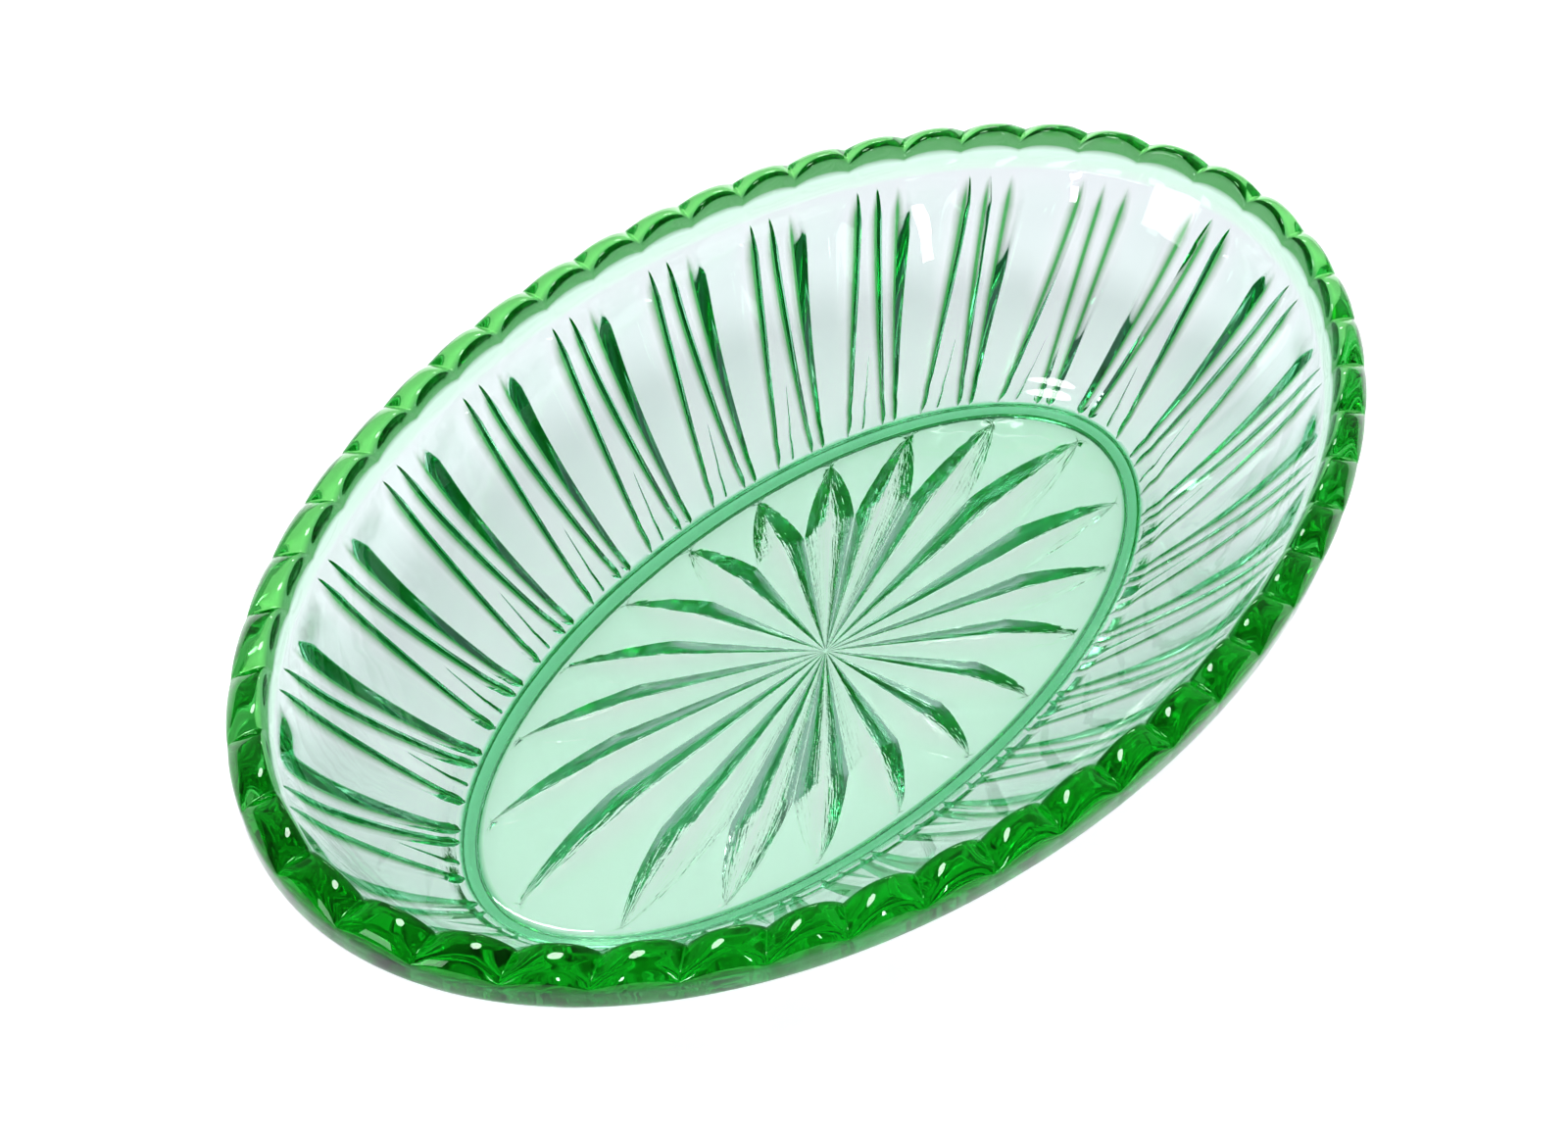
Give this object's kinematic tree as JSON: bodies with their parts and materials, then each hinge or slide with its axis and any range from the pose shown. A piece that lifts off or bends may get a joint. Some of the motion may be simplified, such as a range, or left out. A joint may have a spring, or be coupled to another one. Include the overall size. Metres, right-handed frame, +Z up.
{
  "type": "oval glass dish",
  "caption": "Oval dish of green uranium glass, pressed in one piece, with a scalloped rim, sloping fluted sides, a star pressed under the floor and a low foot ring.",
  "frame": {"origin": "centre of the flat underside of the foot ring, on the surface that the dish stands on", "axes": "+X along the oval's long axis, +Y along its short axis, +Z up, out of the open top"},
  "size_m": [0.2116, 0.1316, 0.048],
  "materials": {
    "green_glass": "fire-polished gloss"
  },
  "bodies": {
    "root": {"scalloped_rim": "green_glass", "fluted_wall": "green_glass", "star_floor": "green_glass", "foot_ring": "green_glass"}
  },
  "joints": []
}
